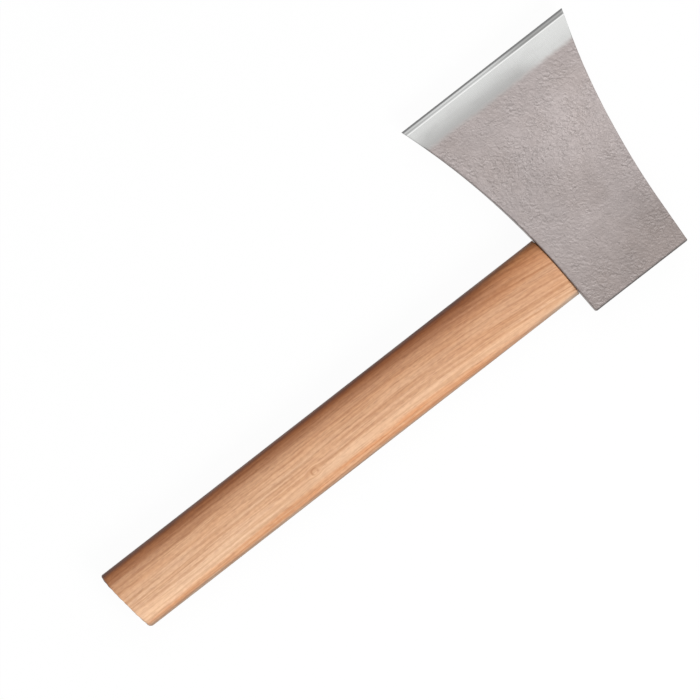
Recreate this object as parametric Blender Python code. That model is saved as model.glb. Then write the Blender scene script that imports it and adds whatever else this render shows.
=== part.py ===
"""Hatchet: a forged head on a straight oval handle, held by one wooden wedge and two steel wedges.

The pieces are modelled about the eye: X runs along the handle to the top of the head, Y runs from
the poll to the cutting edge, and Z is the thickness, with the middle plane at zero. The last step
moves them all so that the tool lies on its cheek with the origin under the middle of its box.
"""

from math import copysign, cos, pi, sin

import bmesh
import bpy
from mathutils import Vector

# Head, seen from the side
HEAD_DEPTH = 0.1303
POLL_HEIGHT = 0.0578
EDGE_LENGTH = 0.1015
POLL_TO_AXIS = 0.02985
POLL_SLOPE = 0.0525
STRAIGHT_RUN = 0.0260

# Head, seen from the top
HEAD_THICKNESS = 0.0220
CHEEK_RUN = 0.0560
SHOULDER_RUN = 0.0460
BLADE_ROOT_THICKNESS = 0.0076
BEVEL_RUN = 0.0155
BEVEL_THICKNESS = 0.0048
HONED_RUN = 0.0028
HONED_THICKNESS = 0.0023
TIP_RUN = 0.0010
TIP_THICKNESS = 0.0012
EDGE_LAND = 0.0003
HEAD_EASE = 0.0008

# Eye through the head, a little wider at the top so that the wedges lock the handle
EYE_LOW_LENGTH = 0.0326
EYE_LOW_WIDTH = 0.0154
EYE_TOP_LENGTH = 0.0340
EYE_TOP_WIDTH = 0.0168
EYE_LEAD_IN = 0.0006

# Handle
HANDLE_WIDTH = 0.0357
HANDLE_THICKNESS = 0.0210
BUTT_REACH = 0.3042
BUTT_SLOPE = 0.128
BUTT_EDGE_ROUND = 0.0006
BUTT_BACK_ROUND = 0.0022
BUTT_FRONT_RISE = 0.0016
BUTT_FRONT_INSET = 0.0050
BUTT_CORNER_START = 0.45
SHOULDER_EASE = 0.0004
TOP_SETBACK = 0.0004
OVAL_POWER = 2.25

# Wooden wedge and its saw cut
WEDGE_DEPTH = 0.0400
WEDGE_TOP_THICKNESS = 0.0046
WEDGE_TIP_THICKNESS = 0.0012
KERF_SPARE_DEPTH = 0.0020

# Steel wedges
STEEL_DEPTH = 0.0170
STEEL_WIDTH = 0.0096
STEEL_TOP_THICKNESS = 0.0026
STEEL_TIP_THICKNESS = 0.0006
STEEL_STEP = 0.00025
STEEL_SPACING = 0.0160

# Clearance left between every two pieces that touch
FIT_GAP = 0.0003

# Smoothness of the skins
OVAL_POINTS = 56
SLAB_POINTS = 9
EASE_STEPS = 3
HEAD_STATIONS = 28
STEEL_STEPS = 3
CUT_MARGIN = 0.0040


def clear_scene():
    for old in list(bpy.data.objects):
        bpy.data.objects.remove(old, do_unlink=True)


def finish(name, color, metallic, roughness):
    material = bpy.data.materials.new(name)
    material.use_nodes = True
    shader = material.node_tree.nodes["Principled BSDF"]
    shader.inputs["Base Color"].default_value = (*color, 1.0)
    shader.inputs["Metallic"].default_value = metallic
    shader.inputs["Roughness"].default_value = roughness
    material.diffuse_color = (*color, 1.0)
    return material


# Outline of the head: straight sides behind the eye, then one long arc out to the edge
def half_height(run):
    rise = EDGE_LENGTH / 2 - POLL_HEIGHT / 2 - POLL_SLOPE * HEAD_DEPTH
    flare = max(run - STRAIGHT_RUN, 0.0) / (HEAD_DEPTH - STRAIGHT_RUN)
    return POLL_HEIGHT / 2 + POLL_SLOPE * run + rise * flare**2


# Half thickness of the forging: flat cheek, soft shoulder, thin blade
def half_forging(run):
    blade_run = HEAD_DEPTH - BEVEL_RUN - CHEEK_RUN
    along = min(max((run - CHEEK_RUN) / blade_run, 0.0), 1.0)
    blade = BLADE_ROOT_THICKNESS + (BEVEL_THICKNESS - BLADE_ROOT_THICKNESS) * along
    fade = min(max((run - CHEEK_RUN) / min(SHOULDER_RUN, blade_run), 0.0), 1.0)
    swell = 1.0 - fade * fade * (3.0 - 2.0 * fade)
    return (blade + (HEAD_THICKNESS - BLADE_ROOT_THICKNESS) * swell) / 2


# Height of the head over a point of the handle, measured from the middle of the head
def seat(y):
    return half_height(y + POLL_TO_AXIS)


def head_stations():
    """Distance from the poll, half height and half thickness of each section of the head."""
    forged = HEAD_DEPTH - BEVEL_RUN - HEAD_EASE
    rows = [(0.0, half_height(0.0) - HEAD_EASE, HEAD_THICKNESS / 2 - HEAD_EASE)]
    for k in range(HEAD_STATIONS + 1):
        run = HEAD_EASE + forged * k / HEAD_STATIONS
        rows.append((run, half_height(run), half_forging(run)))
    for back, thickness in (
        (BEVEL_RUN / 2 + HONED_RUN / 2, (BEVEL_THICKNESS + HONED_THICKNESS) / 2),
        (HONED_RUN, HONED_THICKNESS),
        (TIP_RUN, TIP_THICKNESS),
        (0.0, EDGE_LAND),
    ):
        rows.append((HEAD_DEPTH - back, half_height(HEAD_DEPTH - back), thickness / 2))
    return rows


def eased_box(half_x, half_z, ease):
    """Corners of a rectangle in X and Z, each turned by a small quarter arc."""
    corners = []
    for quarter, (side_x, side_z) in enumerate(((1, 1), (-1, 1), (-1, -1), (1, -1))):
        middle_x = side_x * (half_x - ease)
        middle_z = side_z * (half_z - ease)
        for k in range(EASE_STEPS + 1):
            turn = pi / 2 * (quarter + k / EASE_STEPS)
            corners.append((middle_x + ease * cos(turn), middle_z + ease * sin(turn)))
    return corners


def oval(half_y, half_z):
    """Points of an oval in Y and Z; point k and the point k from the end mirror each other."""
    points = []
    for k in range(OVAL_POINTS):
        turn = 2 * pi * (k + 0.5) / OVAL_POINTS
        across = abs(cos(turn)) ** (2 / OVAL_POWER)
        up = abs(sin(turn)) ** (2 / OVAL_POWER)
        points.append((copysign(half_y * across, cos(turn)), copysign(half_z * up, sin(turn))))
    return points


def slab(half_y, half_z):
    """Points of a flat strip in Y and Z, paired like those of the oval."""
    side = [half_y - 2 * half_y * k / (SLAB_POINTS - 1) for k in range(SLAB_POINTS)]
    return [(y, half_z) for y in side] + [(y, -half_z) for y in reversed(side)]


def skin(name, rings):
    """Closed skin over a row of rings; each end is closed by rungs between mirrored points."""
    mesh = bpy.data.meshes.new(name)
    shape = bmesh.new()
    rows = [[shape.verts.new(point) for point in ring] for ring in rings]
    count = len(rows[0])
    for low, high in zip(rows, rows[1:]):
        for k in range(count):
            after = (k + 1) % count
            shape.faces.new((low[k], low[after], high[after], high[k]))
    for row in (rows[0], rows[-1]):
        for k in range(count // 2 - 1):
            shape.faces.new((row[k], row[k + 1], row[count - 2 - k], row[count - 1 - k]))
    bmesh.ops.recalc_face_normals(shape, faces=shape.faces)
    shape.to_mesh(mesh)
    shape.free()
    piece = bpy.data.objects.new(name, mesh)
    bpy.context.scene.collection.objects.link(piece)
    return piece


def skin_along_handle(name, levels):
    """Skin over sections across the handle; each level gives X as a function of Y, and a section."""
    return skin(name, [[Vector((x_at(y), y, z)) for y, z in ring] for x_at, ring in levels])


def smooth(piece, angle):
    piece.data.shade_smooth()
    piece.data.set_sharp_from_angle(angle=angle)


def as_cutter(piece):
    piece.hide_render = True
    piece.display_type = "WIRE"
    return piece


def cut(piece, cutter):
    modifier = piece.modifiers.new("cut_" + cutter.name, "BOOLEAN")
    modifier.operation = "DIFFERENCE"
    modifier.solver = "EXACT"
    modifier.object = cutter


def eye_cutter():
    """The eye, with both mouths opened out so that they cut past the curved sides of the head."""
    out = EYE_LEAD_IN + CUT_MARGIN
    low = (EYE_LOW_LENGTH / 2, EYE_LOW_WIDTH / 2)
    top = (EYE_TOP_LENGTH / 2, EYE_TOP_WIDTH / 2)
    return as_cutter(
        skin_along_handle(
            "eye_cutter",
            [
                (lambda y: -seat(y) - CUT_MARGIN, oval(low[0] + out, low[1] + out)),
                (lambda y: -seat(y) + EYE_LEAD_IN, oval(*low)),
                (lambda y: seat(y) - EYE_LEAD_IN, oval(*top)),
                (lambda y: seat(y) + CUT_MARGIN, oval(top[0] + out, top[1] + out)),
            ],
        )
    )


def make_head():
    rings = []
    for run, half_x, half_z in head_stations():
        ease = min(HEAD_EASE, 0.6 * half_z)
        box = eased_box(half_x, half_z, ease)
        rings.append([Vector((x, run - POLL_TO_AXIS, z)) for x, z in box])
    head = skin("head", rings)
    cut(head, eye_cutter())
    head.data.materials.append(finish("forged_steel", (0.445, 0.395, 0.382), 0.9, 0.52))
    smooth(head, 0.35)
    return head


# Half sizes of the tenon inside the eye, at the bottom and at the top
def tenon_low():
    return EYE_LOW_LENGTH / 2 - FIT_GAP, EYE_LOW_WIDTH / 2 - FIT_GAP


def tenon_top():
    return EYE_TOP_LENGTH / 2 - FIT_GAP, EYE_TOP_WIDTH / 2 - FIT_GAP


def tenon_end(y):
    return seat(y) - TOP_SETBACK


# Half thickness of the wooden wedge at a depth below the top of the tenon
def half_wedge(depth):
    slope = (WEDGE_TOP_THICKNESS - WEDGE_TIP_THICKNESS) / WEDGE_DEPTH
    return (WEDGE_TOP_THICKNESS - slope * depth) / 2


# Half thickness of a steel wedge at a depth below its top
def half_steel(depth):
    slope = (STEEL_TOP_THICKNESS - STEEL_TIP_THICKNESS) / STEEL_DEPTH
    return (STEEL_TOP_THICKNESS - slope * depth) / 2


def kerf_cutter():
    """The saw cut that the wooden wedge spreads, deeper than the wedge and open at both sides."""
    depth = WEDGE_DEPTH + KERF_SPARE_DEPTH
    reach = EYE_TOP_LENGTH / 2 + CUT_MARGIN
    saw_cut = slab(reach, half_wedge(WEDGE_DEPTH) + FIT_GAP)
    mouth = slab(reach, half_wedge(-CUT_MARGIN) + FIT_GAP)
    return as_cutter(
        skin_along_handle(
            "kerf_cutter",
            [
                (lambda y: tenon_end(y) - depth, saw_cut),
                (lambda y: tenon_end(y) - WEDGE_DEPTH, saw_cut),
                (lambda y: tenon_end(y) + CUT_MARGIN, mouth),
            ],
        )
    )


def steel_cutter(name, middle):
    """The slot that a steel wedge splits open, wider than the wedge by the clearance."""
    top = half_steel(-CUT_MARGIN) + FIT_GAP
    tip = half_steel(STEEL_DEPTH) + FIT_GAP
    half_z = STEEL_WIDTH / 2 + FIT_GAP
    base = tenon_end(middle)
    rings = []
    for x, half_y in ((base - STEEL_DEPTH - FIT_GAP, tip), (base + CUT_MARGIN, top)):
        corners = ((half_y, half_z), (-half_y, half_z), (-half_y, -half_z), (half_y, -half_z))
        rings.append([Vector((x, middle + y, z)) for y, z in corners])
    return as_cutter(skin(name, rings))


# Rise and inset of the rim of the butt: small along the broad sides, larger towards its two corners
def butt_ease(y):
    outward = (2 * abs(y) / HANDLE_WIDTH - BUTT_CORNER_START) / (1 - BUTT_CORNER_START)
    share = min(max(outward, 0.0), 1.0)
    share *= share * (3 - 2 * share)
    corner = (BUTT_FRONT_RISE, BUTT_FRONT_INSET) if y > 0 else (BUTT_BACK_ROUND, BUTT_BACK_ROUND)
    return [BUTT_EDGE_ROUND + (size - BUTT_EDGE_ROUND) * share for size in corner]


def butt_level(turn):
    """One section of the rounded rim, from the flat end at no turn to the full oval at a quarter turn."""
    ring = []
    for y, z in oval(HANDLE_WIDTH / 2, HANDLE_THICKNESS / 2):
        inset = 2 * butt_ease(y)[1] * (1 - sin(turn))
        ring.append((y * (1 - inset / HANDLE_WIDTH), z * (1 - inset / HANDLE_THICKNESS)))
    return lambda y: butt_ease(y)[0] * (1 - cos(turn)) - BUTT_REACH - BUTT_SLOPE * y, ring


def make_handle(cutters):
    levels = [butt_level(pi / 2 * k / (EASE_STEPS + 1)) for k in range(EASE_STEPS + 2)]
    body = oval(HANDLE_WIDTH / 2, HANDLE_THICKNESS / 2)
    rim = oval(HANDLE_WIDTH / 2 - SHOULDER_EASE, HANDLE_THICKNESS / 2 - SHOULDER_EASE)
    levels += [
        (lambda y: -seat(y) - FIT_GAP - SHOULDER_EASE, body),
        (lambda y: -seat(y) - FIT_GAP, rim),
        (lambda y: -seat(y) - FIT_GAP, oval(*tenon_low())),
        (lambda y: -seat(y) + EYE_LEAD_IN, oval(*tenon_low())),
        (tenon_end, oval(*tenon_top())),
    ]
    handle = skin_along_handle("handle", levels)
    for cutter in cutters:
        cut(handle, cutter)
    handle.data.materials.append(finish("hickory", (0.745, 0.462, 0.287), 0.0, 0.5))
    smooth(handle, 0.6)
    return handle


def make_wood_wedge(cutters):
    """The ends of the wedge stop where its corners reach the side of the tenon."""
    half_top, half_thick = tenon_top()
    bite = (half_wedge(0.0) / half_thick) ** OVAL_POWER
    half_y = half_top * (1 - bite) ** (1 / OVAL_POWER)
    half_low = half_y - (EYE_TOP_LENGTH - EYE_LOW_LENGTH) / 2
    wedge = skin_along_handle(
        "wood_wedge",
        [
            (lambda y: tenon_end(y) - WEDGE_DEPTH, slab(half_low, half_wedge(WEDGE_DEPTH))),
            (tenon_end, slab(half_y, half_wedge(0.0))),
        ],
    )
    for cutter in cutters:
        cut(wedge, cutter)
    wedge.data.materials.append(finish("wedge_wood", (0.560, 0.330, 0.190), 0.0, 0.6))
    return wedge


def make_steel_wedge(name, middle):
    """Each step narrows the wedge a little towards the top, so that it can't work its way out."""
    base = tenon_end(middle)
    half_z = STEEL_WIDTH / 2
    sections = []
    for k in range(STEEL_STEPS):
        low = STEEL_DEPTH * (1 - k / STEEL_STEPS)
        high = STEEL_DEPTH * (1 - (k + 1) / STEEL_STEPS)
        notch = STEEL_STEP if k else 0.0
        sections.append((low, half_steel(low) - notch))
        sections.append((high, half_steel(high)))
    rings = []
    for depth, half_y in sections:
        corners = ((half_y, half_z), (-half_y, half_z), (-half_y, -half_z), (half_y, -half_z))
        rings.append([Vector((base - depth, middle + y, z)) for y, z in corners])
    wedge = skin(name, rings)
    wedge.data.materials.append(finish(name + "_metal", (0.330, 0.330, 0.340), 1.0, 0.42))
    return wedge


def lay_on_origin(pieces):
    """Moves all the pieces so that the origin is under the middle of their box, at its lowest level."""
    points = [vertex.co for piece in pieces for vertex in piece.data.vertices]
    low = Vector([min(point[axis] for point in points) for axis in range(3)])
    high = Vector([max(point[axis] for point in points) for axis in range(3)])
    hatchet = bpy.data.objects.new("hatchet", None)
    bpy.context.scene.collection.objects.link(hatchet)
    for piece in bpy.context.scene.collection.objects:
        if piece is not hatchet:
            piece.parent = hatchet
    hatchet.location = (-(low.x + high.x) / 2, -(low.y + high.y) / 2, -low.z)


def main():
    clear_scene()
    front = STEEL_SPACING / 2
    steel_cutters = [steel_cutter("slot_front", front), steel_cutter("slot_back", -front)]
    pieces = [
        make_head(),
        make_handle([kerf_cutter(), *steel_cutters]),
        make_wood_wedge(steel_cutters),
        make_steel_wedge("steel_wedge_front", front),
        make_steel_wedge("steel_wedge_back", -front),
    ]
    lay_on_origin(pieces)


main()
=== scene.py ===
"""Looks of the hatchet: a forged head with a ground edge on a straight, oiled wooden handle.

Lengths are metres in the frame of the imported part: X along the handle to the top of the head, Y from
the poll to the cutting edge, Z up. Shapes are written about the eye and then moved to the frame.
"""

from collections import namedtuple
from math import copysign, cos, pi, radians, sin

import bmesh
import bpy
import numpy as np
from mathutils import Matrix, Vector, noise


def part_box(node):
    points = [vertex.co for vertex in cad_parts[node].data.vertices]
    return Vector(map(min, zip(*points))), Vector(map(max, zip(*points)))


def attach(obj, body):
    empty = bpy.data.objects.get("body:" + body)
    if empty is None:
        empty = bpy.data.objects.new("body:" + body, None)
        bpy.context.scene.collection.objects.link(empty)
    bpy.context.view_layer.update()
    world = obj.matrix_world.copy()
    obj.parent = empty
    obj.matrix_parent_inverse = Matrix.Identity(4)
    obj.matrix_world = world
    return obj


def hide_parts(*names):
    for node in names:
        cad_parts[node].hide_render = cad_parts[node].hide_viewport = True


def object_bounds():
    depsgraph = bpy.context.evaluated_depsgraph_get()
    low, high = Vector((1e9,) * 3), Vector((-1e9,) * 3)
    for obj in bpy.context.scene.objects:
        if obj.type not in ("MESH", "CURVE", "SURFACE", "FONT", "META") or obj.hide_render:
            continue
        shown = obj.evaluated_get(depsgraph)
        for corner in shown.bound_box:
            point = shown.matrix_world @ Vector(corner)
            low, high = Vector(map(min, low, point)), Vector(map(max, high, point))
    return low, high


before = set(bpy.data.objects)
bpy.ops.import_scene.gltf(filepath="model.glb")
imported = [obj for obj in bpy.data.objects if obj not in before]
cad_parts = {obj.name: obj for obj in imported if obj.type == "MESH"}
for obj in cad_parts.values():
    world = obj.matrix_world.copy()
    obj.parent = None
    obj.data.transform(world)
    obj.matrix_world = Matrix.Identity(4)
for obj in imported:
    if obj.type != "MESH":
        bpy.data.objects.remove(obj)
CAD_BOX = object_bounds()
HEAD_LOW, HEAD_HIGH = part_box("head")
HANDLE_LOW, HANDLE_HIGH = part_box("handle")

# Middle of the eye: mid height of the head, axis of the handle, middle plane
EYE = Vector(
    (
        (HEAD_LOW.x + HEAD_HIGH.x) / 2,
        (HANDLE_LOW.y + HANDLE_HIGH.y) / 2,
        (HEAD_LOW.z + HEAD_HIGH.z) / 2,
    )
)

# Head
HEAD_DEPTH = HEAD_HIGH.y - HEAD_LOW.y
EDGE_LENGTH = HEAD_HIGH.x - HEAD_LOW.x
HEAD_THICKNESS = HEAD_HIGH.z - HEAD_LOW.z
POLL_TO_AXIS = EYE.y - HEAD_LOW.y
POLL_HEIGHT = 0.0578
POLL_SLOPE = 0.0525
STRAIGHT_RUN = 0.0260
CHEEK_RUN = 0.0560
SHOULDER_RUN = 0.0460
BLADE_ROOT_THICKNESS = 0.0076
BEVEL_RUN = 0.0155
BEVEL_THICKNESS = 0.0048
HONED_RUN = 0.0028
HONED_THICKNESS = 0.0023
TIP_RUN = 0.0010
TIP_THICKNESS = 0.0012
EDGE_LAND = 0.0003
HEAD_EASE = 0.0008

# Eye, handle and wedge
EYE_LOW_LENGTH = 0.0326
EYE_LOW_WIDTH = 0.0154
EYE_TOP_LENGTH = 0.0340
EYE_TOP_WIDTH = 0.0168
EYE_LEAD_IN = 0.0006
HANDLE_WIDTH = HANDLE_HIGH.y - HANDLE_LOW.y
HANDLE_THICKNESS = HANDLE_HIGH.z - HANDLE_LOW.z
BUTT_REACH = 0.3042
BUTT_SLOPE = 0.128
BUTT_EDGE_ROUND = 0.0006
BUTT_BACK_ROUND = 0.0022
BUTT_FRONT_RISE = 0.0016
BUTT_FRONT_INSET = 0.0050
BUTT_CORNER_START = 0.45
SHOULDER_EASE = 0.0004
TOP_SETBACK = 0.0004
OVAL_POWER = 2.25
WEDGE_DEPTH = 0.0400
WEDGE_TOP_THICKNESS = 0.0046
WEDGE_TIP_THICKNESS = 0.0012
STEEL_DEPTH = 0.0170
STEEL_WIDTH = 0.0096
STEEL_TOP_THICKNESS = 0.0026
STEEL_SPACING = 0.0160
FIT_GAP = 0.0003
CUT_MARGIN = 0.0040

# Fineness of the skins
SKIN_STEP = 0.0006
CHEEK_POINTS = 140
SIDE_POINTS = 26
EASE_POINTS = 4
OVAL_POINTS = 144
HANDLE_STEP = 0.0012
POLL_RING_STEP = 0.06
BUTT_RING_STEP = 0.08
BUTT_POINTS = 6
SHOULDER_POINTS = 3
KERF_POINTS = 8
SHARP_ANGLE = 40

# Corners of the head: largest share of the half thickness, and what the ground bevel takes off it
CORNER_SHARE = 0.6
CORNER_LOSS = 0.75
CORNER_FADE = 0.0040

# Border of the grinding: how far it goes past the bevel, its softness, and how it wanders, as depth,
# waves per metre along and across the edge, and layer of the noise
GRIND_PAST = 0.0016
GRIND_FADE = 0.0036
GRIND_WANDERS = ((0.0006, 70, 30, 3.7), (0.0004, 420, 300, 8.1))

# Rims of the poll and of the lower side, and the shares of painted shade on them
POLL_RIM = 0.6 * HEAD_EASE
UNDER_RIM = 0.2 * HEAD_EASE
POLL_RIM_SHADE = 0.8
UNDER_RIM_SHADE = 0.5

# Depth of the forged unevenness, of the sanding waves and of the sawn end of the handle
WRINKLE_DEPTH = 0.00014
WAVE_DEPTH = 0.00010
SAW_DEPTH = 0.00045

# Waves per metre of the forged unevenness, with the turn of its folds, of the sanding and of the saw
FOLD_COS = 0.79
FOLD_SIN = 0.61
FOLD_WAVES = Vector((290, 480, 400))
FOLD_SWAY = 0.7
DENT_WAVES = 95
SAG_WAVES = 38
SAND_WAVES = Vector((28, 110, 110))
SAW_WAVES = 520
SAW_WAVES_THROUGH = 90
SAW_LAYER = 4.2

# Slope from which a face of the handle counts as a cut end, and the softness of that border
END_SLOPE = 0.75
END_FADE = 0.2

# Depth of the bump of the wood grain and of the stamped wedges
GRAIN_DEPTH = 0.00010
STAMP_DEPTH = 0.00008

# Start of the noise, so that the forged unevenness comes out the same in each run
NOISE_SEED = 5

# Fine folds of the forged skin, and the step across them over which their slope is taken for painted light
# and shade
FOLD_LENGTH = 0.0017
FOLD_WIDTH = 0.00132
FOLD_DEPTH = 0.00042
SHADING_STEP = 0.00056

# Wood, about the eye: width of a year ring, middle of the tree beyond the back of the handle, the place
# where the grain runs level, its bow towards the head and, along the back, towards the butt, the border
# of the orange back layer, and a pin knot on the grip
RING_WIDTH = 0.0020
PITH_Y = 0.090
PITH_Z = 0.050
LEVEL_X = -0.1450
BOW_TO_HEAD = 0.56
BOW_TO_BUTT = 0.13
LAYER_Y = -0.0124
KNOT_X = -0.1888
KNOT_Y = -0.0066

# Camera: the photograph is a square of 700 pixels at half a millimetre each, turned with the handle,
# and its middle is measured from the eye
PHOTO_SIDE = 700
PIXEL = 0.0005
HANDLE_TURN = radians(37.885)
VIEW_CENTRE = (-0.13777, 0.03045)
LENS = 420.0
SENSOR = 36.0
CLIP_END = 100.0

# Eased edges of the wedges
WOOD_EDGE = 0.0002
STEEL_EDGE = 0.00025


def clamped(value):
    return min(max(value, 0.0), 1.0)


def smoothed(share):
    return share * share * (3 - 2 * share)


def waves(place):
    return 0.5 + 0.5 * noise.noise(place)


# Outline of the head: straight sides behind the eye, then one long arc out to the edge
def half_height(run):
    rise = EDGE_LENGTH / 2 - POLL_HEIGHT / 2 - POLL_SLOPE * HEAD_DEPTH
    flare = max(run - STRAIGHT_RUN, 0.0) / (HEAD_DEPTH - STRAIGHT_RUN)
    return POLL_HEIGHT / 2 + POLL_SLOPE * run + rise * flare**2


# Half thickness of the head: flat cheek, soft shoulder, thin blade, ground bevel, honed edge
def half_thickness(run):
    blade_run = HEAD_DEPTH - BEVEL_RUN - CHEEK_RUN
    along = clamped((run - CHEEK_RUN) / blade_run)
    blade = BLADE_ROOT_THICKNESS + (BEVEL_THICKNESS - BLADE_ROOT_THICKNESS) * along
    swell = 1.0 - smoothed(clamped((run - CHEEK_RUN) / SHOULDER_RUN))
    forged = blade + (HEAD_THICKNESS - BLADE_ROOT_THICKNESS) * swell
    ground = np.interp(
        HEAD_DEPTH - run,
        (0.0, TIP_RUN, HONED_RUN, BEVEL_RUN),
        (EDGE_LAND, TIP_THICKNESS, HONED_THICKNESS, BEVEL_THICKNESS),
    )
    return min(forged, ground if HEAD_DEPTH - run < BEVEL_RUN else forged) / 2


# Half height of the head where a point of the handle meets it
def seat(y):
    return half_height(y + POLL_TO_AXIS)


def oval(half_y, half_z):
    turns = [2 * pi * (k + 0.5) / OVAL_POINTS for k in range(OVAL_POINTS)]
    power = 2 / OVAL_POWER
    return [
        (
            copysign(half_y * abs(cos(turn)) ** power, cos(turn)),
            copysign(half_z * abs(sin(turn)) ** power, sin(turn)),
        )
        for turn in turns
    ]


def steps(low, high, step):
    count = max(1, round((high - low) / step))
    return [low + (high - low) * k / count for k in range(count + 1)]


def skin(name, rings, flat=0):
    """Closed skin over a row of rings; each end is closed by rungs between mirrored points.

    The first points of each quarter may lie on one straight side: flat is their number.
    """
    mesh = bpy.data.meshes.new(name)
    shape = bmesh.new()
    rows = [[shape.verts.new(point) for point in ring] for ring in rings]
    count = len(rows[0])
    for low, high in zip(rows, rows[1:]):
        for k in range(count):
            after = (k + 1) % count
            shape.faces.new((low[k], low[after], high[after], high[k]))
    for row in (rows[0], rows[-1]):
        for k in range(flat, count // 2 - 1 - flat):
            shape.faces.new((row[k], row[k + 1], row[count - 2 - k], row[count - 1 - k]))
        if flat:
            shape.faces.new([row[k] for k in range(-flat - 1, flat + 1)])
            shape.faces.new(row[count // 2 - 1 - flat:count // 2 + 1 + flat])
    bmesh.ops.recalc_face_normals(shape, faces=shape.faces)
    shape.to_mesh(mesh)
    shape.free()
    piece = bpy.data.objects.new(name, mesh)
    bpy.context.scene.collection.objects.link(piece)
    return piece


def cut(piece, cutter):
    """Cuts the piece for good and removes the cutter."""
    modifier = piece.modifiers.new("cut", "BOOLEAN")
    modifier.operation = "DIFFERENCE"
    modifier.solver = "EXACT"
    modifier.object = cutter
    depsgraph = bpy.context.evaluated_depsgraph_get()
    mesh = bpy.data.meshes.new_from_object(piece.evaluated_get(depsgraph))
    piece.modifiers.clear()
    piece.data = mesh
    bpy.data.objects.remove(cutter, do_unlink=True)


def shade(piece):
    piece.data.shade_smooth()
    piece.data.set_sharp_from_angle(angle=radians(SHARP_ANGLE))


def keep_values(mesh, name, values):
    attribute = mesh.attributes.new(name, "FLOAT", "POINT")
    attribute.data.foreach_set("value", values)


# Head skin
def corner_ease(run, half_z):
    """Radius of the corners of a section: eased on the forging, nearly sharp on the ground bevel."""
    ground = clamped((run - HEAD_DEPTH + BEVEL_RUN) / CORNER_FADE)
    return min(HEAD_EASE, CORNER_SHARE * half_z) * (1 - CORNER_LOSS * ground)


def head_ring(run, half_x, half_z, share=1.0):
    """One section of the head: two cheeks, two sides and four eased corners."""
    ease = corner_ease(run, half_z)
    flat_x, flat_z = half_x - ease, half_z - ease
    corner = [(half_x, flat_z * (2 * k + 1) / SIDE_POINTS) for k in range(SIDE_POINTS // 2)]
    for k in range(EASE_POINTS + 1):
        turn = pi / 2 * k / EASE_POINTS
        corner.append((flat_x + ease * cos(turn), flat_z + ease * sin(turn)))
    cheek = [(flat_x * (1 - 2 * k / CHEEK_POINTS), half_z) for k in range(1, CHEEK_POINTS)]
    upper = corner + cheek + [(-x, z) for x, z in reversed(corner)]
    ring = upper + [(x, -z) for x, z in reversed(upper)]
    return [(share * x, run - POLL_TO_AXIS, share * z) for x, z in ring]


def head_runs():
    blade_end = HEAD_DEPTH - BEVEL_RUN
    runs = steps(HEAD_EASE, blade_end, SKIN_STEP)
    runs += steps(blade_end, HEAD_DEPTH - HONED_RUN, SKIN_STEP)[1:]
    runs += steps(HEAD_DEPTH - HONED_RUN, HEAD_DEPTH - TIP_RUN, SKIN_STEP)[1:]
    runs += steps(HEAD_DEPTH - TIP_RUN, HEAD_DEPTH, SKIN_STEP / 2)[1:]
    return runs


def head_rings():
    low_x, low_z = half_height(0.0) - HEAD_EASE, half_thickness(0.0) - HEAD_EASE
    shares = steps(POLL_RING_STEP, 1.0, POLL_RING_STEP)[:-1]
    rings = [head_ring(0.0, low_x, low_z, share) for share in shares]
    for k in range(EASE_POINTS):
        turn = pi / 2 * k / EASE_POINTS
        inset = HEAD_EASE * (1 - sin(turn))
        run = HEAD_EASE * (1 - cos(turn))
        rings.append(head_ring(run, half_height(run) - inset, half_thickness(run) - inset))
    rings += [head_ring(run, half_height(run), half_thickness(run)) for run in head_runs()]
    return rings


def eye_cutter():
    out = EYE_LEAD_IN + CUT_MARGIN
    low = (EYE_LOW_LENGTH / 2, EYE_LOW_WIDTH / 2)
    top = (EYE_TOP_LENGTH / 2, EYE_TOP_WIDTH / 2)
    levels = (
        (lambda y: -seat(y) - CUT_MARGIN, oval(low[0] + out, low[1] + out)),
        (lambda y: -seat(y) + EYE_LEAD_IN, oval(*low)),
        (lambda y: seat(y) - EYE_LEAD_IN, oval(*top)),
        (lambda y: seat(y) + CUT_MARGIN, oval(top[0] + out, top[1] + out)),
    )
    return skin("eye_cutter", [[(x_at(y), y, z) for y, z in ring] for x_at, ring in levels])


def ground_share(x, run):
    """How far a point of the head is ground bright: 0 on the forging, 1 on the bevel."""
    wander = 0.0
    for depth, along, across, layer in GRIND_WANDERS:
        wander += depth * noise.noise(Vector((x * along, run * across, layer)))
    reach = (BEVEL_RUN + GRIND_PAST + wander - (HEAD_DEPTH - run)) / GRIND_FADE
    return smoothed(clamped(reach))


def wrinkle(point):
    """Height of the forged skin at a point, from 0 in a hollow to 1 on a crest."""
    level = FOLD_COS * point.x - FOLD_SIN * point.y
    upright = FOLD_SIN * point.x + FOLD_COS * point.y
    spot = Vector((level, upright, point.z)) * FOLD_WAVES
    fold = waves(spot + noise.noise_vector(spot * 0.5) * FOLD_SWAY)
    dent = waves(point * DENT_WAVES)
    sag = waves(point * SAG_WAVES)
    return 0.35 * fold + 0.30 * dent + 0.35 * sag


def forge(piece):
    """Sinks the forged wrinkles into the skin, and keeps how far each point is ground."""
    mesh = piece.data
    ground = np.zeros(len(mesh.vertices), np.float32)
    normals = [vertex.normal.copy() for vertex in mesh.vertices]
    for k, vertex in enumerate(mesh.vertices):
        point = vertex.co
        run = point.y + POLL_TO_AXIS
        ground[k] = ground_share(point.x, run)
        depth = WRINKLE_DEPTH * (1 - wrinkle(point)) * (1 - ground[k])
        vertex.co = point - normals[k] * depth
    keep_values(mesh, "ground", ground)


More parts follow.
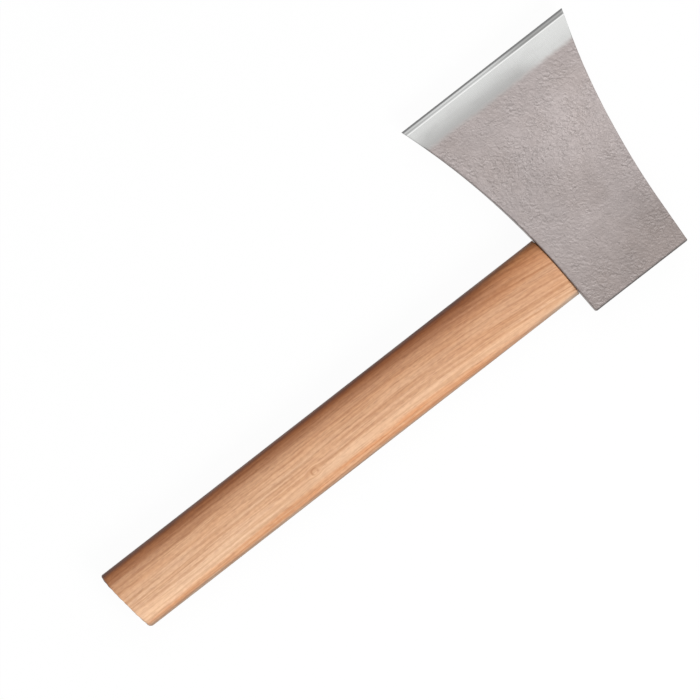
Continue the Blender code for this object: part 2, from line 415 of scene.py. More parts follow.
def mark_shaded_rims(piece):
    """Marks the eased rim of the poll and of the lower side, which is darkened as painted shade."""
    mesh = piece.data
    rim = np.zeros(len(mesh.vertices), np.float32)
    for k, vertex in enumerate(mesh.vertices):
        run = vertex.co.y + POLL_TO_AXIS
        above = vertex.co.x + half_height(run)
        poll = 1.0 - clamped((run - POLL_RIM) / POLL_RIM)
        under = 1.0 - clamped((above - UNDER_RIM) / (2 * UNDER_RIM))
        rim[k] = max(POLL_RIM_SHADE * poll, UNDER_RIM_SHADE * under)
    keep_values(mesh, "rim", rim)


def make_head():
    head = skin("forged_head", head_rings(), SIDE_POINTS // 2 + 1)
    forge(head)
    cut(head, eye_cutter())
    mark_shaded_rims(head)
    shade(head)
    return head


# Handle skin
def tenon_end(y):
    return seat(y) - TOP_SETBACK


def half_wedge(depth):
    slope = (WEDGE_TOP_THICKNESS - WEDGE_TIP_THICKNESS) / WEDGE_DEPTH
    return (WEDGE_TOP_THICKNESS - slope * depth) / 2


def butt_ease(y):
    """Rise and inset of the rim of the butt: small along the broad sides, larger at its two corners."""
    outward = (2 * abs(y) / HANDLE_WIDTH - BUTT_CORNER_START) / (1 - BUTT_CORNER_START)
    share = smoothed(clamped(outward))
    corner = (BUTT_FRONT_RISE, BUTT_FRONT_INSET) if y > 0 else (BUTT_BACK_ROUND, BUTT_BACK_ROUND)
    return [BUTT_EDGE_ROUND + (size - BUTT_EDGE_ROUND) * share for size in corner]


def butt_level(turn, share=1.0):
    """One section of the rounded butt, from the flat end at no turn to the full oval."""
    ring = []
    for y, z in oval(HANDLE_WIDTH / 2, HANDLE_THICKNESS / 2):
        inset = 2 * butt_ease(y)[1] * (1 - sin(turn))
        ring.append((share * y * (1 - inset / HANDLE_WIDTH), share * z * (1 - inset / HANDLE_THICKNESS)))
    return lambda y: butt_ease(y)[0] * (1 - cos(turn)) - BUTT_REACH - BUTT_SLOPE * y, ring


def body_level(share):
    """One section of the straight body, whose ends follow the butt and the lower side of the head."""
    def x_at(y):
        low = butt_ease(y)[0] - BUTT_REACH - BUTT_SLOPE * y
        high = -seat(y) - FIT_GAP - SHOULDER_EASE
        return low + share * (high - low)

    return x_at, oval(HANDLE_WIDTH / 2, HANDLE_THICKNESS / 2)


def shoulder_level(turn):
    ease = SHOULDER_EASE * (1 - cos(turn))
    drop = FIT_GAP + SHOULDER_EASE * (1 - sin(turn))
    return lambda y: -seat(y) - drop, oval(HANDLE_WIDTH / 2 - ease, HANDLE_THICKNESS / 2 - ease)


def handle_levels():
    """X as a function of Y, and the section, of each ring from the butt to the top of the tenon."""
    low = oval(EYE_LOW_LENGTH / 2 - FIT_GAP, EYE_LOW_WIDTH / 2 - FIT_GAP)
    top = oval(EYE_TOP_LENGTH / 2 - FIT_GAP, EYE_TOP_WIDTH / 2 - FIT_GAP)
    shares = steps(BUTT_RING_STEP, 1.0, BUTT_RING_STEP)[:-1]
    levels = [butt_level(0.0, share) for share in shares]
    levels += [butt_level(pi / 2 * k / BUTT_POINTS) for k in range(BUTT_POINTS + 1)]
    levels += [body_level(share) for share in steps(0.0, 1.0, HANDLE_STEP / BUTT_REACH)[1:]]
    levels += [shoulder_level(pi / 2 * k / SHOULDER_POINTS) for k in range(1, SHOULDER_POINTS + 1)]
    levels += [
        (lambda y: -seat(y) - FIT_GAP, low),
        (lambda y: -seat(y) + EYE_LEAD_IN, low),
        (tenon_end, top),
    ]
    return levels


def kerf_cutter():
    reach = EYE_TOP_LENGTH / 2 + CUT_MARGIN
    tip = half_wedge(WEDGE_DEPTH) + FIT_GAP
    mouth = half_wedge(-CUT_MARGIN) + FIT_GAP
    rings = []
    for depth, half_z in ((WEDGE_DEPTH, tip), (-CUT_MARGIN, mouth)):
        side = [reach - 2 * reach * k / KERF_POINTS for k in range(KERF_POINTS + 1)]
        ring = [(y, half_z) for y in side] + [(y, -half_z) for y in reversed(side)]
        rings.append([(tenon_end(y) - depth, y, z) for y, z in ring])
    return skin("kerf_cutter", rings)


def slot_cutter(middle):
    half_y = STEEL_TOP_THICKNESS / 2 + FIT_GAP
    half_z = STEEL_WIDTH / 2 + FIT_GAP
    corners = ((half_y, half_z), (-half_y, half_z), (-half_y, -half_z), (half_y, -half_z))
    top = tenon_end(middle)
    levels = (top - STEEL_DEPTH - FIT_GAP, top + CUT_MARGIN)
    return skin("slot_cutter", [[(x, middle + y, z) for y, z in corners] for x in levels])


def sand(piece):
    """Gives the handle the shallow waves of sanding and its end those of the saw, always inwards."""
    mesh = piece.data
    normals = [vertex.normal.copy() for vertex in mesh.vertices]
    for k, vertex in enumerate(mesh.vertices):
        x, y, z = vertex.co
        if x > -seat(y) - FIT_GAP - 2 * SHOULDER_EASE:
            continue
        wave = waves(vertex.co * SAND_WAVES)
        torn = waves(Vector((y * SAW_WAVES, z * SAW_WAVES_THROUGH, SAW_LAYER)))
        end = max(-normals[k].x, 0.0) ** 2
        vertex.co -= normals[k] * (WAVE_DEPTH * wave * (1 - end) + SAW_DEPTH * torn * end)


def mark_ends(piece):
    """Marks the cut ends of the stick, where the end grain shows."""
    mesh = piece.data
    ends = [clamped((abs(vertex.normal.x) - END_SLOPE) / END_FADE) for vertex in mesh.vertices]
    keep_values(mesh, "end", np.array(ends, np.float32))


def make_handle():
    rings = [[(x_at(y), y, z) for y, z in ring] for x_at, ring in handle_levels()]
    handle = skin("wood_handle", rings)
    sand(handle)
    cut(handle, kerf_cutter())
    for side in (1, -1):
        cut(handle, slot_cutter(side * STEEL_SPACING / 2))
    mark_ends(handle)
    shade(handle)
    return handle


# Node helpers
class Graph:
    """Small helper that adds linked shader nodes to a material or a world."""

    def __init__(self, tree):
        self.tree = tree

    def add(self, kind, settings=None, **inputs):
        node = self.tree.nodes.new("ShaderNode" + kind)
        for name, value in (settings or {}).items():
            setattr(node, name, value)
        for name, value in inputs.items():
            self.put(node.inputs[name.replace("_", " ")], value)
        return node

    def put(self, socket, value):
        if isinstance(value, bpy.types.NodeSocket):
            self.tree.links.new(value, socket)
        else:
            socket.default_value = value

    def math(self, operation, *values):
        node = self.tree.nodes.new("ShaderNodeMath")
        node.operation = operation
        for socket, value in zip(node.inputs, values):
            self.put(socket, value)
        return node.outputs[0]

    def times(self, value, factor):
        return self.math("MULTIPLY", value, factor)

    def vector(self, x, y, z):
        return self.add("CombineXYZ", X=x, Y=y, Z=z).outputs[0]

    def scaled(self, place, *factors):
        """A place with its coordinates multiplied, by one factor for all or by one for each."""
        return self.vector(*[self.times(value, factor) for value, factor in zip(place, factors * 3)])

    def length(self, x, y):
        node = self.add("VectorMath", {"operation": "LENGTH"})
        self.put(node.inputs[0], self.vector(x, y, 0.0))
        return node.outputs["Value"]

    def noise(self, vector, detail=2.0, roughness=0.5, distortion=0.0):
        node = self.add("TexNoise", Vector=vector, Scale=1.0, Detail=detail)
        self.put(node.inputs["Roughness"], roughness)
        self.put(node.inputs["Distortion"], distortion)
        return node.outputs["Fac"]

    def span(self, value, low, high, to_low=0.0, to_high=1.0, linear=False):
        node = self.tree.nodes.new("ShaderNodeMapRange")
        node.interpolation_type = "LINEAR" if linear else "SMOOTHSTEP"
        for socket, item in zip(node.inputs, (value, low, high, to_low, to_high)):
            self.put(socket, item)
        return node.outputs[0]

    def band(self, value, low, low_full, high_full, high):
        """One inside a band with soft borders, nought outside it."""
        return self.math("MULTIPLY", self.span(value, low, low_full), self.span(value, high, high_full))

    def mix(self, share, first, second, blend="MIX"):
        node = self.tree.nodes.new("ShaderNodeMix")
        node.data_type = "RGBA"
        node.blend_type = blend
        for index, value in ((0, share), (6, first), (7, second)):
            self.put(node.inputs[index], value)
        return node.outputs[2]

    def product(self, color, tone):
        return self.mix(1.0, color, tone, "MULTIPLY")

    def toned(self, share, color, tone):
        """A color that is multiplied by a tone, as far as the share says."""
        return self.mix(share, color, self.product(color, tone))

    def blend(self, share, first, second):
        node = self.tree.nodes.new("ShaderNodeMix")
        for index, value in ((0, share), (2, first), (3, second)):
            self.put(node.inputs[index], value)
        return node.outputs[0]

    def value_of(self, name):
        return self.add("Attribute", {"attribute_name": name}).outputs["Fac"]

    def place(self):
        """Object coordinates, measured from the middle of the eye."""
        spot = self.add("TexCoord").outputs["Object"]
        moved = self.add("VectorMath", {"operation": "SUBTRACT"})
        self.put(moved.inputs[0], spot)
        self.put(moved.inputs[1], EYE)
        return tuple(self.add("SeparateXYZ", Vector=moved.outputs[0]).outputs)

    def bump(self, shader, height, strength, depth):
        node = self.add("Bump", Strength=strength, Distance=depth, Height=height)
        self.put(shader.inputs["Normal"], node.outputs[0])


def rgb(red, green, blue):
    return (red, green, blue, 1.0)


def new_material(name):
    material = bpy.data.materials.new(name)
    material.use_nodes = True
    graph = Graph(material.node_tree)
    shader = material.node_tree.nodes["Principled BSDF"]
    return material, graph, shader


# Forged and ground steel of the head
FORGED = rgb(0.569, 0.506, 0.494)
FORGED_DARK = rgb(0.281, 0.239, 0.226)
FORGED_LIGHT = rgb(0.730, 0.671, 0.659)
SCALE_BROWN = rgb(0.458, 0.393, 0.371)
RIM_PAINTED_SHADE = rgb(0.150, 0.140, 0.138)
GROUND = rgb(0.660, 0.665, 0.655)
GROUND_DULL = rgb(0.440, 0.436, 0.428)
HEEL = rgb(0.930, 0.930, 0.930)
HONED = rgb(0.632, 0.638, 0.632)
HONED_DULL = rgb(0.354, 0.354, 0.349)
STONE_LINE = rgb(0.720, 0.720, 0.720)
TIP_PAINTED_SHADE = rgb(0.262, 0.262, 0.262)
SHOULDER_HIGHLIGHT = rgb(0.790, 0.790, 0.782)
BLOTCH_GAIN = 0.028

# Soft bands: of the painted highlight line behind the honed bevel, of the line left by the stone, measured
# from the edge, and of the painted sheen, a pale stripe of the wood in front of the back layer
SHOULDER_HIGHLIGHT_BAND = (0.00005, 0.00018, 0.00048, 0.00066)
STONE_BAND = (0.00170, 0.00205, 0.00235, 0.00270)
SHEEN_BAND = (0.0006, 0.0020, 0.0034, 0.0056)

# Soft places of the forging about the eye, as X, Y, radius and gain: of its painted light and shade and of
# its relief
LIGHT_AND_SHADE_PLACES = (
    (0.024, -0.008, 0.024, -0.080),
    (-0.003, -0.021, 0.014, -0.070),
    (-0.012, 0.036, 0.024, -0.075),
    (0.024, 0.052, 0.018, 0.060),
    (-0.003, 0.012, 0.014, 0.050),
    (0.014, 0.054, 0.036, 0.070),
    (0.034, 0.070, 0.020, 0.080),
    (0.018, 0.006, 0.016, -0.055),
    (-0.003, 0.028, 0.014, 0.050),
    (-0.031, 0.036, 0.012, -0.090),
)
RELIEF = (
    (0.000, 0.058, 0.040, 0.08),
    (0.005, -0.002, 0.032, -0.15),
    (0.026, -0.010, 0.014, 0.22),
    (-0.003, -0.026, 0.011, 0.16),
    (0.010, 0.024, 0.020, -0.20),
    (0.026, 0.040, 0.014, -0.16),
    (-0.008, 0.073, 0.014, -0.20),
    (-0.022, 0.054, 0.014, 0.16),
    (-0.009, 0.037, 0.009, 0.12),
)


def soft_places(graph, x, y, places, base):
    """Adds the gain of each soft place, which fades out at its radius."""
    total = base
    for middle_x, middle_y, radius, gain in places:
        away = graph.length(graph.math("ADD", x, -middle_x), graph.math("ADD", y, -middle_y))
        total = graph.math("ADD", total, graph.span(away, radius, 0.0, 0.0, gain))
    return total


def folds(graph, x, y, z):
    """Fine folds of the forged skin, level in the photograph, and the rise across each fold, used for
    painted light and shade.
    """
    level = graph.math("SUBTRACT", graph.times(x, cos(HANDLE_TURN)), graph.times(y, sin(HANDLE_TURN)))
    upright = graph.math("ADD", graph.times(x, sin(HANDLE_TURN)), graph.times(y, cos(HANDLE_TURN)))
    spot = graph.scaled((level, upright, z), 1 / FOLD_LENGTH, 1 / FOLD_WIDTH, 1 / FOLD_WIDTH)
    beside = graph.add("VectorMath", {"operation": "ADD"})
    graph.put(beside.inputs[0], spot)
    graph.put(beside.inputs[1], (0.0, SHADING_STEP / FOLD_WIDTH, 0.0))
    fold, further = [graph.noise(place, 2.5, 0.55, 0.5) for place in (spot, beside.outputs[0])]
    return fold, graph.math("SUBTRACT", further, fold)


def forged_color(graph, x, y, z, fold, shading_slope, patch):
    """Brown scale, darker in the creases and lighter on the crests, with painted shade on one side of each
    fold and a painted highlight on the other.
    """
    def tinted(color, share, faint, strong, tint):
        share = graph.math("MULTIPLY", share, graph.span(patch, 0.0, 1.0, faint, strong))
        return graph.mix(share, color, tint)

    cloud = graph.noise(graph.scaled((x, y, z), 45.0), 3.0)
    blotch = graph.noise(graph.scaled((x, y, z), 240.0), 1.0)
    fleck = graph.noise(graph.scaled((x, y, z), 1300.0), 2.0)
    toward_poll = graph.span(y, 0.025, -0.030, 0.0, 0.75)
    brown = graph.math("ADD", toward_poll, graph.span(cloud, 0.40, 0.75, 0.0, 0.5))
    color = graph.mix(brown, FORGED, SCALE_BROWN)
    color = tinted(color, graph.span(fold, 0.47, 0.33), 0.05, 0.11, FORGED_DARK)
    color = tinted(color, graph.span(fold, 0.53, 0.68), 0.06, 0.13, FORGED_LIGHT)
    # Painted light and shade across each fold, as if lit from one side.
    color = tinted(color, graph.span(shading_slope, 0.02, 0.15), 0.06, 0.25, FORGED_DARK)
    color = tinted(color, graph.span(shading_slope, -0.02, -0.15), 0.10, 0.37, FORGED_LIGHT)
    color = graph.mix(graph.span(fleck, 0.45, 0.75, 0.0, 0.25), color, FORGED_LIGHT)
    base = graph.math("ADD", graph.span(blotch, 0.34, 0.66, -BLOTCH_GAIN, BLOTCH_GAIN), 1.0)
    # Random blotches of tone, and the soft places of painted light and shade.
    return graph.product(color, soft_places(graph, x, y, LIGHT_AND_SHADE_PLACES, base)), fleck


def ground_color(graph, x, y, back):
    """Polished bevel, duller towards the forging, then the honed bevel with its lines, a painted highlight
    line behind it, and the tip darkened as painted shade.
    """
    scratch = graph.noise(graph.vector(graph.times(x, 2600.0), graph.times(y, 110.0), 0.5), 3.0, 0.6)
    smear = graph.noise(graph.vector(graph.times(x, 55.0), graph.times(y, 160.0), 2.5), 2.0)
    toe = graph.span(x, 0.002, 0.034)
    dull = graph.math("MULTIPLY", graph.span(back, 0.0035, 0.0150), graph.span(toe, 0.0, 1.0, 1.0, 0.25))
    dull = graph.math("ADD", dull, graph.span(smear, 0.45, 0.80, 0.0, 0.25))
    color = graph.mix(dull, GROUND, GROUND_DULL)
    color = graph.mix(graph.span(scratch, 0.45, 0.72, 0.0, 0.03), color, GROUND_DULL)
    color = graph.mix(toe, graph.product(color, HEEL), color)
    # Painted highlight: a pale line behind the honed bevel.
    color = graph.mix(graph.band(back, *[HONED_RUN + run for run in SHOULDER_HIGHLIGHT_BAND]), color, SHOULDER_HIGHLIGHT)
    # The honed bevel is darker towards the toe and a little towards the heel.
    darker_ends = graph.math("ADD", graph.span(x, -0.004, 0.030), graph.span(x, -0.026, -0.050, 0.0, 0.35))
    honed = graph.toned(graph.band(back, *STONE_BAND), graph.mix(darker_ends, HONED, HONED_DULL), STONE_LINE)
    color = graph.mix(graph.span(back, HONED_RUN + 0.00004, HONED_RUN - 0.00008), color, honed)
    # Painted shade: the steep tip of the edge is darkened.
    return graph.mix(graph.span(back, TIP_RUN + 0.00005, TIP_RUN - 0.00010), color, TIP_PAINTED_SHADE), scratch


def head_material():
    material, graph, shader = new_material("forged_and_ground_steel")
    x, y, z = graph.place()
    ground = graph.value_of("ground")
    rim = graph.value_of("rim")
    back = graph.math("SUBTRACT", HEAD_DEPTH - POLL_TO_AXIS, y)
    fold, shading_slope = folds(graph, x, y, z)
    uneven = soft_places(graph, x, y, RELIEF, graph.noise(graph.scaled((x, y, z), 130.0), 2.0))
    off_bevel = graph.span(back, BEVEL_RUN + 0.0005, BEVEL_RUN + 0.0060)
    patch = graph.math("MULTIPLY", graph.span(uneven, 0.34, 0.66), off_bevel)

    forged, fleck = forged_color(graph, x, y, z, fold, shading_slope, patch)
    bright, scratch = ground_color(graph, x, y, back)
    # Painted shade: the rims of the poll and of the lower side are darkened.
    color = graph.mix(ground, graph.mix(rim, forged, RIM_PAINTED_SHADE), bright)
    graph.put(shader.inputs["Base Color"], color)
    shader.inputs["Metallic"].default_value = 1.0
    forged_rough = graph.span(fleck, 0.2, 0.8, 0.48, 0.60)
    bright_rough = graph.span(scratch, 0.3, 0.7, 0.26, 0.29)
    graph.put(shader.inputs["Roughness"], graph.blend(ground, forged_rough, bright_rough))

    gain = graph.span(patch, 0.0, 1.0, 0.75, 1.15)
    tall = graph.math("MULTIPLY", graph.math("SUBTRACT", fold, 0.5), gain)
    tall = graph.math("ADD", tall, graph.times(fleck, 0.12))
    height = graph.blend(ground, tall, graph.times(scratch, 0.0015))
    graph.bump(shader, height, 1.0, FOLD_DEPTH)
    return material


# Oiled hickory of the handle
SHEEN_PALE = rgb(0.850, 0.585, 0.390)
PALE = rgb(0.788, 0.515, 0.329)
TAN = rgb(0.686, 0.412, 0.240)
LATE = rgb(0.440, 0.212, 0.096)
PORE = rgb(0.290, 0.145, 0.078)
SAPWOOD = rgb(1.00, 1.02, 1.06)
MIDDLE = rgb(0.935, 0.900, 0.895)
TAWNY = rgb(0.955, 0.880, 0.825)
HEARTWOOD_AND_SHADE = rgb(0.44, 0.202, 0.062)
HEART_AND_SHADE_AT_HEAD = rgb(0.88, 0.63, 0.42)
BACK_LAYER = rgb(0.93, 0.83, 0.75)
BACK_RED = rgb(0.90, 0.71, 0.57)
FRONT_RIM_SHADE = rgb(0.40, 0.350, 0.22)
BACK_RIM_SHADE = rgb(0.52, 0.60, 0.69)
HEADWARD_SHADE = rgb(0.90, 0.82, 0.76)
AMBER = rgb(0.99, 0.94, 0.89)
ROSY = rgb(0.955, 0.930, 0.925)
STRAW = rgb(1.040, 1.050, 1.040)
END_GRAIN = rgb(0.66, 0.56, 0.48)

Wood = namedtuple("Wood", "broad vein streak fibre pore mottle")


def wood_fields(graph, x, y, z):
    """Growth rings, veins, fibres and pores of a stick cut well outside the middle of the tree."""
    slow = graph.noise(graph.scaled((x, y, z), 9.0, 60.0, 60.0), 2.0)
    ripple = graph.noise(graph.scaled((x, y, z), 95.0, 170.0, 170.0), 2.0)
    side = graph.math("ADD", graph.math("ADD", y, graph.times(slow, 0.005)), PITH_Y)
    side = graph.math("MULTIPLY_ADD", ripple, 0.0007, side)
    ring = graph.length(side, graph.math("ADD", z, PITH_Z))
    around = graph.math("SUBTRACT", graph.times(z, 0.87), graph.times(y, 0.49))

    def stretched(length, width, flat=5.0, detail=2.0):
        spot = graph.scaled((x, ring, around), 1 / length, 1 / width, 1 / (flat * width))
        return graph.noise(spot, detail)

    strength = graph.span(stretched(0.110, 0.0034, 3.0), 0.36, 0.62, 0.40, 1.0)
    warp = stretched(0.300, 0.0075, 4.0, 1.0)
    count = graph.math("MULTIPLY_ADD", warp, 3.0, graph.times(ring, 1 / RING_WIDTH))
    late = graph.band(graph.math("FRACT", count), 0.42, 0.82, 0.86, 1.0)
    return Wood(
        broad=stretched(0.30, 0.0060),
        vein=graph.math("MULTIPLY", late, strength),
        streak=stretched(0.090, 0.0022, 2.0, 1.0),
        fibre=stretched(0.040, 0.0010, 1.5, 1.0),
        pore=stretched(0.0055, 0.00045, 1.0, 1.0),
        mottle=stretched(0.0026, 0.0013, 1.0),
    )


def wood_color(graph, fields, pale, tan, late):
    color = graph.mix(graph.span(fields.broad, 0.34, 0.66, 0.36, 0.66), pale, tan)
    color = graph.mix(graph.times(fields.vein, 0.46), color, late)
    color = graph.mix(graph.span(fields.streak, 0.50, 0.66, 0.0, 0.20), color, late)
    color = graph.mix(graph.span(fields.streak, 0.50, 0.34, 0.0, 0.24), color, pale)
    color = graph.mix(graph.span(fields.fibre, 0.48, 0.68, 0.0, 0.34), color, late)
    color = graph.mix(graph.span(fields.fibre, 0.50, 0.32, 0.0, 0.36), color, pale)
    color = graph.mix(graph.span(fields.pore, 0.54, 0.72, 0.0, 0.26), color, PORE)
    return graph.product(color, graph.mix(graph.span(fields.mottle, 0.36, 0.64), ROSY, STRAW))


def finish_wood(graph, shader, fields, color):
    """Darker end grain, a dull oil finish, and pores that sink below the fibres."""
    graph.put(shader.inputs["Base Color"], graph.toned(graph.value_of("end"), color, END_GRAIN))
    graph.put(shader.inputs["Roughness"], graph.span(fields.fibre, 0.2, 0.8, 0.40, 0.56))
    shader.inputs["Specular IOR Level"].default_value = 0.40
    sunk = graph.times(graph.span(fields.pore, 0.60, 0.78), 0.7)
    hollow = graph.math("ADD", sunk, graph.times(fields.vein, 0.3))
    height = graph.math("SUBTRACT", graph.times(fields.fibre, 0.6), hollow)
    graph.bump(shader, height, 0.6, GRAIN_DEPTH)


def grain_course(graph, y, from_level, knot_y, from_knot):
    """Y as the grain sees it: bowed along the handle and pushed aside round the knot."""
    to_butt = graph.span(y, -0.0060, -0.0170, 0.0, BOW_TO_BUTT)
    bow = graph.blend(graph.math("GREATER_THAN", from_level, 0.0), to_butt, BOW_TO_HEAD)
    drift = graph.math("MULTIPLY", graph.math("MULTIPLY", from_level, from_level), bow)
    push = graph.math("MULTIPLY", graph.span(from_knot, 0.0050, 0.0, 0.0, 0.70), knot_y)
    return graph.math("SUBTRACT", graph.math("ADD", y, drift), push)


def knot_share(graph, knot_x, knot_y, from_knot, fibre):
    """Dark loop of the pin knot, stronger on its lower side, and the dot inside it."""
    swirl = graph.math("MULTIPLY_ADD", fibre, 0.0012, graph.math("ADD", from_knot, -0.0006))
    loop = graph.band(swirl, 0.0009, 0.0014, 0.0016, 0.0022)
    low = graph.span(graph.math("SUBTRACT", knot_y, knot_x), -0.0012, 0.0018, 0.10, 0.62)
    core = graph.length(graph.math("ADD", knot_x, -0.0015), graph.math("ADD", knot_y, 0.0005))
    dot = graph.span(core, 0.0009, 0.0002, 0.0, 0.5)
    return graph.math("MAXIMUM", graph.math("MULTIPLY", loop, low), dot)


def heart_and_shade_tone(graph, x, place, from_level):
    """Tone across the handle: pale sapwood at the back, brown heartwood and painted shade at the front."""
    tone = graph.mix(graph.span(place, -0.75, -0.15), SAPWOOD, MIDDLE)
    tone = graph.mix(graph.span(place, 0.0, 0.3), tone, TAWNY)
    heart_and_shade = graph.math("POWER", graph.span(place, 0.10, 0.96, linear=True), 1.35)
    near_level = graph.span(graph.math("ABSOLUTE", from_level), 0.085, 0.010, 1.0, 1.06)
    heart_and_shade = graph.math("MULTIPLY", heart_and_shade, near_level)
    deep = graph.mix(graph.span(x, -0.085, -0.038), HEARTWOOD_AND_SHADE, HEART_AND_SHADE_AT_HEAD)
    return graph.mix(heart_and_shade, tone, deep)


def back_stripes(graph, color, x, across, z, fibre):
    """A painted sheen, a pale stripe along the back, and the orange layer behind it."""
    layer = graph.math("MULTIPLY_ADD", fibre, 0.0016, graph.math("ADD", across, -0.0008))
    # Painted sheen: a pale stripe along the back.
    stripe = graph.band(layer, *[LAYER_Y + depth for depth in SHEEN_BAND])
    color = graph.mix(graph.times(stripe, 0.25), color, SHEEN_PALE)
    strip = graph.span(layer, LAYER_Y + 0.0012, LAYER_Y - 0.0012)
    red = graph.noise(graph.scaled((x, across, z), 30.0, 700.0, 300.0), 2.0)
    return graph.toned(strip, color, graph.mix(graph.span(red, 0.42, 0.60), BACK_LAYER, BACK_RED))


def handle_material():
    material, graph, shader = new_material("oiled_hickory")
    x, y, z = graph.place()
    from_level = graph.math("ADD", x, -LEVEL_X)
    knot_x = graph.math("ADD", x, -KNOT_X)
    knot_y = graph.math("ADD", y, -KNOT_Y)
    from_knot = graph.length(graph.times(knot_x, 0.85), knot_y)
    across = grain_course(graph, y, from_level, knot_y, from_knot)

    fields = wood_fields(graph, x, across, z)
    color = wood_color(graph, fields, PALE, TAN, LATE)
    color = graph.mix(knot_share(graph, knot_x, knot_y, from_knot, fields.fibre), color, LATE)
    sway = graph.math("MULTIPLY_ADD", fields.broad, 0.16, -0.08)
    place = graph.math("ADD", graph.times(y, 2 / HANDLE_WIDTH), sway)
    # Brown heartwood and painted shade towards the front of the handle.
    color = graph.product(color, heart_and_shade_tone(graph, x, place, from_level))
    tint = graph.noise(graph.scaled((x, across, z), 22.0, 210.0, 210.0), 2.0)
    color = graph.toned(graph.span(tint, 0.42, 0.64, 0.0, 0.8), color, AMBER)
    color = back_stripes(graph, color, x, across, z, fields.fibre)
    # Painted shade along the front and back rims of the handle.
    color = graph.toned(graph.span(place, 0.84, 1.0), color, FRONT_RIM_SHADE)
    color = graph.toned(graph.span(place, -0.86, -1.0), color, BACK_RIM_SHADE)
    # Painted shade over the handle towards the head, weaker at the back.
    off_back = graph.span(place, -0.80, -0.30, 0.5, 1.0)
    headward_shade = graph.math("MULTIPLY", graph.span(x, -0.23, -0.05), off_back)
    finish_wood(graph, shader, fields, graph.toned(headward_shade, color, HEADWARD_SHADE))
    return material


def wedge_material():
    material, graph, shader = new_material("wedge_hardwood")
    x, y, z = graph.place()
    fields = wood_fields(graph, x, y, graph.times(z, 1.7))
    finish_wood(graph, shader, fields, wood_color(graph, fields, TAN, LATE, PORE))
    return material


# Dull stamped steel of the small wedges
STAMPED_DARK = rgb(0.27, 0.27, 0.28)
STAMPED_LIGHT = rgb(0.40, 0.40, 0.41)
STAIN = rgb(0.20, 0.13, 0.09)


def wedge_steel_material():
    material, graph, shader = new_material("stamped_steel")
    place = graph.place()
    grain = graph.noise(graph.scaled(place, 1200.0), 4.0)
    stain = graph.noise(graph.scaled(place, 260.0), 3.0)
    color = graph.mix(graph.span(grain, 0.3, 0.7), STAMPED_DARK, STAMPED_LIGHT)
    color = graph.mix(graph.span(stain, 0.52, 0.72, 0.0, 0.5), color, STAIN)
    graph.put(shader.inputs["Base Color"], color)
    shader.inputs["Metallic"].default_value = 1.0
    graph.put(shader.inputs["Roughness"], graph.span(grain, 0.2, 0.8, 0.35, 0.55))
    graph.bump(shader, grain, 0.4, STAMP_DEPTH)
    return material


def dress(piece, material):
    piece.data.materials.clear()
    piece.data.materials.append(material)


def seat_in_frame(piece, node):
    """Moves a piece from the eye to the frame, lets it ride there and stand for its solid."""
    piece.data.transform(piece.matrix_world.Translation(EYE))
    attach(piece, "root")
    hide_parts(node)


def ease_edges(piece, width):
    bevel = piece.modifiers.new("eased_edges", "BEVEL")
    bevel.width = width
    bevel.segments = 2
    bevel.limit_method = "ANGLE"


# Stage: the floor, the key lamp, and soft panels of the sky as direction, narrowness and brightness
FLOOR_SIDE = 4.0
FLOOR_DROP = 0.0002
FLOOR_GREY = rgb(0.45, 0.45, 0.45)
FLOOR_SEEN = rgb(0.9, 0.9, 0.9)
FLOOR_GLOW = 0.95
WHITE = rgb(1.0, 1.0, 1.0)
KEY_TOWARD = (0.10, -0.70, 0.70)
KEY_DISTANCE = 1.8
KEY_SIZE = 0.9
KEY_POWER = 19.0
SKY_LEVEL = 0.26
SKY_PANELS = (
    ((0.08, 0.27, 0.96), 4.5, 0.93),
    ((1.0, 0.0, 0.25), 4.0, 0.50),
    ((0.42, 0.55, 0.72), 24.0, 1.20),
    ((-0.35, -0.85, 0.38), 4.5, 0.56),
)


def make_floor():
    mesh = bpy.data.meshes.new("floor")
    level = CAD_BOX[0].z - FLOOR_DROP
    corners = ((-1, -1), (1, -1), (1, 1), (-1, 1))
    mesh.from_pydata([(x * FLOOR_SIDE, y * FLOOR_SIDE, level) for x, y in corners], [], [(0, 1, 2, 3)])
    floor = bpy.data.objects.new("floor", mesh)
    bpy.context.scene.collection.objects.link(floor)
    material, graph, shader = new_material("white_floor")
    shader.inputs["Roughness"].default_value = 0.9
    shader.inputs["Specular IOR Level"].default_value = 0.0
    path = graph.add("LightPath").outputs
    seen = graph.math("MAXIMUM", path["Is Camera Ray"], path["Is Glossy Ray"])
    seen = graph.math("MAXIMUM", seen, path["Is Transmission Ray"])
    graph.put(shader.inputs["Base Color"], graph.mix(seen, FLOOR_GREY, FLOOR_SEEN))
    glow = graph.add("Emission", Color=WHITE, Strength=1.0)
    share = graph.add("MixShader", Fac=graph.times(seen, FLOOR_GLOW))
    graph.put(share.inputs[1], shader.outputs[0])
    graph.put(share.inputs[2], glow.outputs[0])
    output = material.node_tree.nodes["Material Output"]
    graph.put(output.inputs["Surface"], share.outputs[0])
    dress(floor, material)


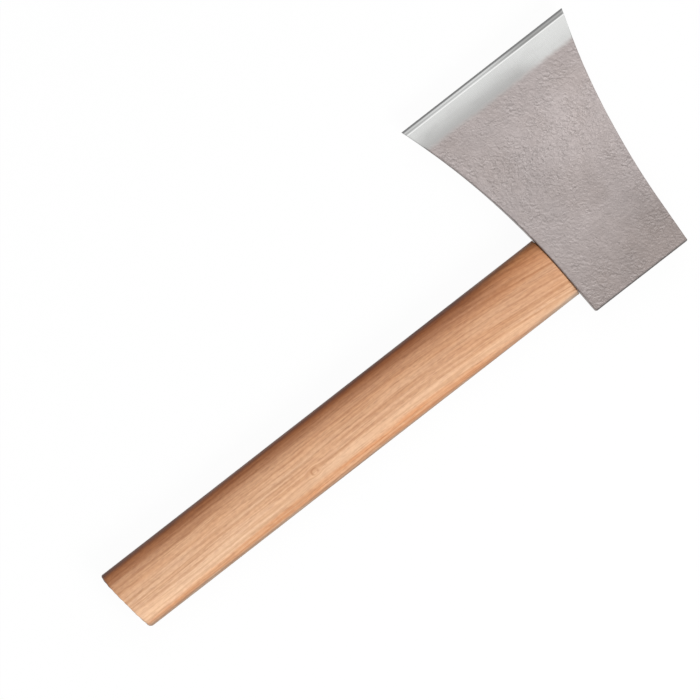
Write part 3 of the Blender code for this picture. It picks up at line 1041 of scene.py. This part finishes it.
def make_world():
    world = bpy.data.worlds.new("studio")
    bpy.context.scene.world = world
    world.use_nodes = True
    graph = Graph(world.node_tree)
    background = world.node_tree.nodes["Background"]
    way = graph.add("TexCoord").outputs["Generated"]
    level = SKY_LEVEL
    for toward, power, gain in SKY_PANELS:
        facing = graph.add("VectorMath", {"operation": "DOT_PRODUCT"})
        graph.put(facing.inputs[0], way)
        graph.put(facing.inputs[1], Vector(toward).normalized())
        glow = graph.math("POWER", graph.math("MAXIMUM", facing.outputs["Value"], 0.0), power)
        level = graph.math("ADD", level, graph.times(glow, gain))
    graph.put(background.inputs["Strength"], level)
    background.inputs["Color"].default_value = WHITE


def make_key_lamp():
    """Lights the matt surfaces alone: the gloss of the steel comes from the sky."""
    light = bpy.data.lights.new("key", "AREA")
    light.shape = "DISK"
    light.size = KEY_SIZE
    light.energy = KEY_POWER
    lamp = bpy.data.objects.new("key", light)
    bpy.context.scene.collection.objects.link(lamp)
    way = Vector(KEY_TOWARD).normalized()
    lamp.location = way * KEY_DISTANCE
    lamp.visible_glossy = False
    lamp.rotation_mode = "QUATERNION"
    lamp.rotation_quaternion = way.to_track_quat("Z", "Y")


def make_camera():
    data = bpy.data.cameras.new("camera")
    data.lens = LENS
    data.sensor_width = SENSOR
    data.clip_end = CLIP_END
    camera = bpy.data.objects.new("camera", data)
    bpy.context.scene.collection.objects.link(camera)
    away = PHOTO_SIDE * PIXEL * LENS / SENSOR
    camera.location = EYE + Vector((*VIEW_CENTRE, away))
    camera.rotation_euler = (0.0, 0.0, -HANDLE_TURN)
    bpy.context.scene.camera = camera


noise.seed_set(NOISE_SEED)
head = make_head()
dress(head, head_material())
seat_in_frame(head, "head")
handle = make_handle()
dress(handle, handle_material())
seat_in_frame(handle, "handle")

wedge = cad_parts["wood_wedge"]
dress(wedge, wedge_material())
ease_edges(wedge, WOOD_EDGE)
for node in ("steel_wedge_front", "steel_wedge_back"):
    dress(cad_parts[node], wedge_steel_material())
    ease_edges(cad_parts[node], STEEL_EDGE)

make_floor()
make_world()
make_key_lamp()
make_camera()
bpy.context.scene.view_settings.view_transform = "Standard"
